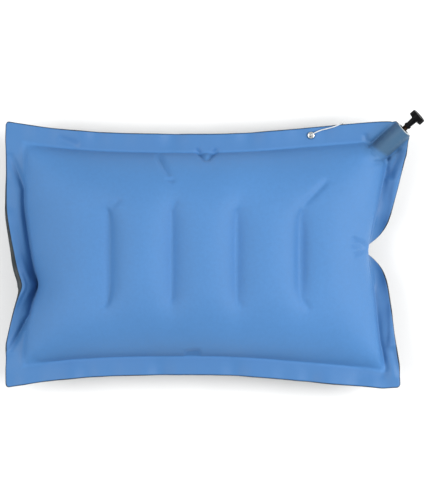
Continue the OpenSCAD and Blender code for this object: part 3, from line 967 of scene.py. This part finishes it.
def over_the_sleeve(f, shade, colour):
    """Darkens the cloth that lies over the valve's sleeve, with painted shade in the small fold lines
    along one side of it.
    """
    inward = tuple(-VALVE_AXIS)
    away = f.from_mouth()
    along = f.dot(away, inward)
    foot = f.node("VectorMath", {0: inward, "Scale": along}, operation="SCALE")
    aside = f.node("VectorMath", [away, foot], operation="SUBTRACT")
    beside = f.node("VectorMath", [aside], output="Value", operation="LENGTH")
    left = f.dot(away, (-VALVE_AXIS[1], VALVE_AXIS[0], 0.0))
    slant = f.calc("ADD", f.calc("MULTIPLY", left, OVER_SLEEVE["slant"]), OVER_SLEEVE["from"])
    end = f.calc("MAXIMUM", f.calc("SUBTRACT", along, slant), 0.0)
    round_end = f.calc("SQRT", f.calc(
        "ADD", f.calc("MULTIPLY", end, end), f.calc("MULTIPLY", beside, beside)))
    band, halo = (
        f.remap(round_end, SLEEVE_R + start, SLEEVE_R + full)
        for start, full in (OVER_SLEEVE["band"], OVER_SLEEVE["halo"])
    )
    # Painted shade: towards one side of the sleeve the cloth is darkened, as if its small fold lines
    # lay in shade
    painted_fold_shade = f.calc("MULTIPLY", f.remap(left, *OVER_SLEEVE["painted_fold_shade"]),
                   f.remap(f.noise(150, 2), 0.4, 0.6, 0.4, 1.0))
    shade = f.mix(f.calc("MULTIPLY", halo, 0.45), shade, colour)
    shade = f.mix(f.calc("MULTIPLY", band, 0.9), shade, colour)
    return f.mix(f.calc("MULTIPLY", f.calc("MULTIPLY", band, painted_fold_shade), 0.6), shade, PAINTED_FOLD_SHADE_BLUE)


def woven(name, colour, over_sleeve=None, rolled=False, **sockets):
    """Coated plain weave, a little darker where it was welded, partly as painted shade of the rim,
    and dark along its cut edge.
    """
    f = Finish(name, **sockets)
    u, v = f.round_valve() if rolled else f.cloth()
    warp = f.calc("SINE", f.calc("MULTIPLY", u, 2 * math.pi / THREAD_PITCH))
    weft = f.calc("SINE", f.calc("MULTIPLY", v, 2 * math.pi / THREAD_PITCH))
    weave = f.calc("MULTIPLY", warp, weft)
    slubs = f.noise(260, 3, place=f.place())
    blotches = f.noise(7, 3)
    tone = f.remap(blotches, 0.3, 0.7, 0.95, 1.04)
    tone = f.calc("MULTIPLY", tone, f.remap(slubs, 0.3, 0.7, 0.97, 1.03))
    tone = f.calc("MULTIPLY", tone, f.remap(weave, -1, 1, 0.96, 1.04))
    shade = f.mix(1.0, colour, f.node("CombineColor", [tone, tone, tone]), "MULTIPLY")
    # The weld presses the weave flat in a band inside the rim. The band is also darker, partly from
    # the welding and partly as painted shade of the rim
    edge = f.calc("MINIMUM", *(
        f.calc("SUBTRACT", float(half), f.calc("ABSOLUTE", way))
        for half, way in zip(FLAT_HALF, (u, v))
    ))
    weld = f.remap(edge, *WELD_AND_SHADE_BAND)
    shade = f.mix(f.calc("MULTIPLY", weld, 0.8), shade, shaded(colour, 0.84))
    frayed = f.remap(f.noise(90, 4), 0.3, 0.6, 0.6, 0.95)
    cut = f.calc("MULTIPLY", f.remap(edge, *CUT_BAND), frayed)
    shade = f.mix(cut, shade, CUT_EDGE)
    if over_sleeve:
        shade = over_the_sleeve(f, shade, over_sleeve)
    f.wear(shade)
    f.rough(f.calc("ADD", f.remap(slubs, 0.3, 0.7, 0.5, 0.6), f.calc("MULTIPLY", weld, -0.06)))
    crumple = f.noise(75, 3, 0.55)
    normal = f.bump(crumple, 0.0009, 0.35)
    normal = f.bump(f.noise(420, 2), 0.00012, 0.4, normal)
    weave_depth = f.calc("MULTIPLY", weave, f.remap(weld, 0, 1, 1, 0.5))
    f.normal(f.bump(weave_depth, 0.00005, 0.6, normal))
    return f.material


def moulded(name, colour, roughness, grain=900.0, **sockets):
    """Moulded plastic: fine spark-eroded grain, faint flow marks and handling gloss."""
    f = Finish(name, **sockets)
    flow = f.noise(40, 4)
    fine = f.noise(grain, 2)
    f.wear(f.mix(f.remap(flow, 0.35, 0.65), shaded(colour, 0.9), shaded(colour, 1.12)))
    f.rough(f.remap(f.noise(160, 3), 0.3, 0.7, roughness - 0.06, roughness + 0.08))
    f.normal(f.bump(fine, 0.00003, 0.7, f.bump(flow, 0.0001, 0.4)))
    return f.material


def metal(name, colour, roughness, turned=0.0, **sockets):
    """Metal with fine marks; turned gives it lathe rings along the valve's axis."""
    f = Finish(name, Metallic=1.0, **sockets)
    stain = f.noise(120, 4)
    f.wear(f.mix(f.remap(stain, 0.4, 0.7), colour, shaded(colour, 0.72)))
    f.rough(f.remap(f.noise(400, 3), 0.3, 0.7, roughness - 0.05, roughness + 0.1))
    if turned:
        along = f.dot(f.place(), VALVE_AXIS)
        rings = f.calc("SINE", f.calc("MULTIPLY", along, 2 * math.pi / turned))
        f.normal(f.bump(rings, 0.0001, 0.7))
    else:
        f.normal(f.bump(f.noise(900, 2), 0.00003, 0.6))
    return f.material


EMBOSS_PITCH = 0.0016


def embossed(name, colour):
    """Smooth film with a faint diamond emboss and milky stretch marks."""
    f = Finish(name, Specular_IOR_Level=0.5)
    _, y, z = f.split(f.place())
    lines = [
        f.calc("SINE", f.calc("MULTIPLY", f.calc(way, y, z), 2 * math.pi / EMBOSS_PITCH))
        for way in ("ADD", "SUBTRACT")
    ]
    diamonds = f.calc("MAXIMUM", *lines)
    milky = f.noise(60, 4)
    f.wear(f.mix(f.remap(milky, 0.4, 0.7), colour, shaded(colour, 1.35)))
    f.rough(f.remap(milky, 0.35, 0.65, 0.3, 0.45))
    f.normal(f.bump(diamonds, 0.00005, 0.5, f.bump(milky, 0.0004, 0.3)))
    return f.material


def spun(name, colour):
    """Cotton cord: fuzzy fibres and a little grime."""
    f = Finish(name, Sheen_Weight=0.4, Sheen_Roughness=0.5)
    fibres = f.noise(2500, 3)
    grime = f.noise(140, 4)
    f.wear(f.mix(f.remap(grime, 0.4, 0.75), colour, shaded(colour, 0.72)))
    f.rough(f.remap(fibres, 0.3, 0.7, 0.7, 0.9))
    f.normal(f.bump(fibres, 0.00008, 0.8))
    return f.material


SHEEN = {"Sheen_Weight": 0.08, "Sheen_Roughness": 0.4, "Specular_IOR_Level": 0.35}
blue_fabric = woven("blue_fabric_woven", BLUE, BLUE_OVER_SLEEVE, **SHEEN)
grey_fabric = woven("grey_fabric_woven", GREY, **SHEEN)
sleeve_fabric = woven("sleeve_fabric_woven", BLUE_OVER_SLEEVE, rolled=True, **SHEEN)

cotton = spun("cord_cotton", rgb(0.66, 0.67, 0.65))
for piece in (hang_cord, cord_knot):
    piece.data.materials.append(cotton)
bpy.data.objects["upper_panel"].data.materials.append(blue_fabric)
bpy.data.objects["lower_panel"].data.materials.append(grey_fabric)
film = embossed("film_embossed", rgb(0.2, 0.37, 0.6))
for piece in film_ties:
    piece.data.materials.append(film)

BLACK = rgb(0.0035, 0.0035, 0.004)
black_plastic = moulded("black_plastic_moulded", BLACK, 0.4, Specular_IOR_Level=0.08)
rubber = moulded("rubber_moulded", rgb(0.012, 0.012, 0.013), 0.75, 1400, Specular_IOR_Level=0.15)
dark_brass = metal("brass_turned", rgb(0.03, 0.018, 0.011), 0.36, turned=0.0005)
nickel = metal("eyelet_nickel", rgb(0.74, 0.75, 0.72), 0.3)
GREY_PLASTIC = rgb(0.42, 0.45, 0.46)
NODE_FINISHES = {
    "valve_sleeve": sleeve_fabric,
    "valve_barrel": moulded("grey_plastic_moulded", GREY_PLASTIC, 0.45),
    "valve_gland": black_plastic,
    "valve_knob": black_plastic,
    "neck_seal": rubber,
    "valve_seat": rubber,
    "plug_washer": rubber,
    "valve_spindle": dark_brass,
    "stop_ring": dark_brass,
    "plug_disc": dark_brass,
    "eyelet": nickel,
    "eyelet_washer": nickel,
}
for node, material in NODE_FINISHES.items():
    for slot in frame["nodes"][node].material_slots:
        slot.material = material


# ---- Lights and floor -------------------------------------------------------

AIM = Vector((0, 0, 0.05))
WORLD_STRENGTH = 0.54
FLOOR_REACH = 4.0
FLOOR_DROP = 0.0003                      # the floor lies this far below the lowest cloth


def area_light(name, place, size, power):
    """A square lamp aimed at the pillow."""
    data = bpy.data.lights.new(name, "AREA")
    data.shape = "SQUARE"
    data.size = size
    data.energy = power
    lamp = new_object(name, data)
    lamp.location = place
    lamp.rotation_euler = (AIM - Vector(place)).to_track_quat("-Z", "Y").to_euler()


area_light("key", (1.5, 0.1, 1.35), 0.9, 34.5)
area_light("fill", (-1.35, 0.0, 1.75), 1.6, 31)

world = bpy.data.worlds.new("studio")
bpy.context.scene.world = world
world.use_nodes = True
sky = world.node_tree.nodes["Background"].inputs
sky["Color"].default_value = rgb(0.96, 0.98, 1.0)
sky["Strength"].default_value = WORLD_STRENGTH

floor_mesh = bpy.data.meshes.new("floor")
floor_mesh.from_pydata(
    [(FLOOR_REACH * x, FLOOR_REACH * y, 0) for x, y in ((-1, -1), (1, -1), (1, 1), (-1, 1))],
    [], [(0, 1, 2, 3)],
)
floor = new_object("floor", floor_mesh)
floor.location.z = -FLOOR_DROP
paper = Finish("paper", Roughness=0.9)
paper.wear(paper.mix(paper.noise(30, 3), rgb(0.88, 0.88, 0.88), rgb(0.9, 0.9, 0.9)))
floor.data.materials.append(paper.material)

bpy.context.scene.view_settings.view_transform = "Standard"
